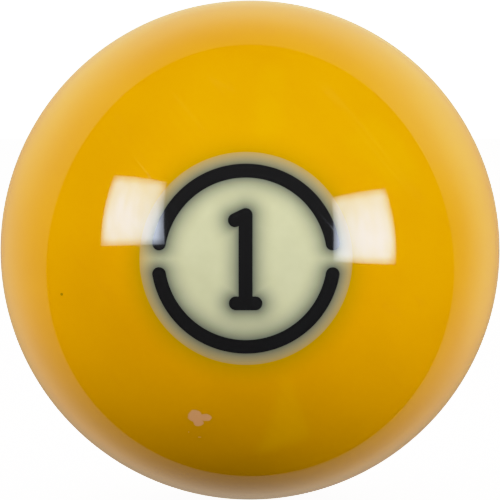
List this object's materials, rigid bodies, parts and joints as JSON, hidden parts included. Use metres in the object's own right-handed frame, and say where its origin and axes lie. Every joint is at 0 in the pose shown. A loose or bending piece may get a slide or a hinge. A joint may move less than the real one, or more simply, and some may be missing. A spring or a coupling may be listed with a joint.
{
  "type": "pool ball",
  "caption": "Solid resin pool ball with a numbered disc set flush into opposite sides, for rolling and striking on a billiard table.",
  "frame": {"origin": "centre of the ball", "axes": "-Y points out of the front number, +Z towards the top of its numeral and +X to the numeral's right as it is read. The body and plugs are turned about Y. A half turn about X brings the back number to the front"},
  "size_m": [0.0572, 0.0572, 0.0572],
  "materials": {
    "yellow_phenolic": "polished",
    "cream_resin": "polished",
    "black_resin": "polished"
  },
  "bodies": {
    "root": {"ball_body": "yellow_phenolic", "number_plug_front": "cream_resin", "number_plug_back": "cream_resin", "numeral_front": "black_resin", "numeral_back": "black_resin", "ring_arc_upper_front": "black_resin", "ring_arc_lower_front": "black_resin", "ring_arc_upper_back": "black_resin", "ring_arc_lower_back": "black_resin"}
  },
  "joints": []
}
